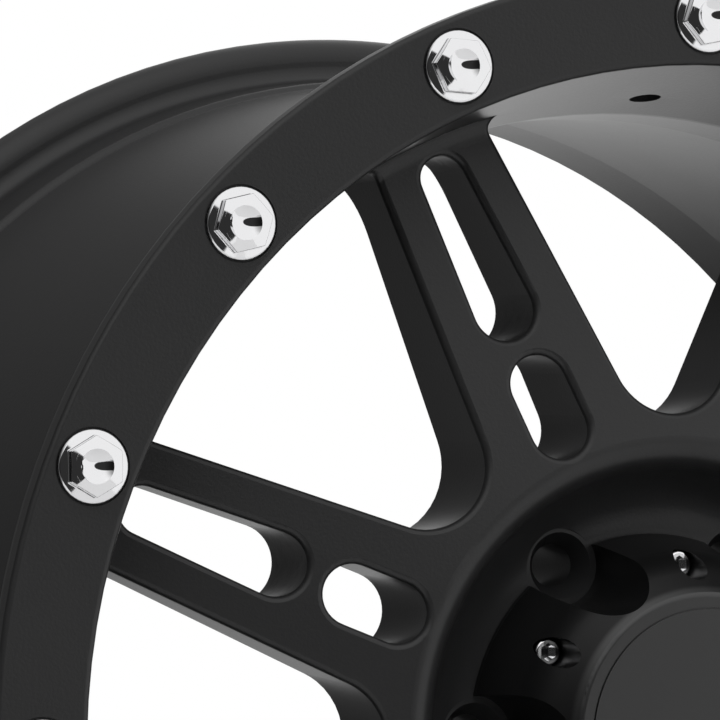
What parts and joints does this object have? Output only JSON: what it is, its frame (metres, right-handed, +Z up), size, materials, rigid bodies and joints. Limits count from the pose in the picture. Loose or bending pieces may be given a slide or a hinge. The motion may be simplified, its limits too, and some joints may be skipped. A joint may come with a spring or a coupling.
{
  "type": "alloy wheel",
  "caption": "Wide cast alloy wheel with slotted spokes, a bolted-look front ring, tapered barrel and a screwed-on centre cap, for a six-stud hub.",
  "frame": {"origin": "centre of the rear mounting pad, on the axle axis", "axes": "+Y along the axle towards the vehicle, the face looks to -Y, +Z up with the valve hole at the top"},
  "size_m": [0.5429, 0.3388, 0.543],
  "materials": {
    "satin_black_coat": "satin black powder coat on cast aluminium",
    "bright_chrome": "polished chrome plate",
    "black_cap_plastic": "satin black painted moulding",
    "bright_screw": "bright plated steel"
  },
  "bodies": {
    "root": {"wheel": "satin_black_coat", "rim_bolts": "bright_chrome", "center_cap": "black_cap_plastic", "cap_screws": "bright_screw"}
  },
  "joints": []
}
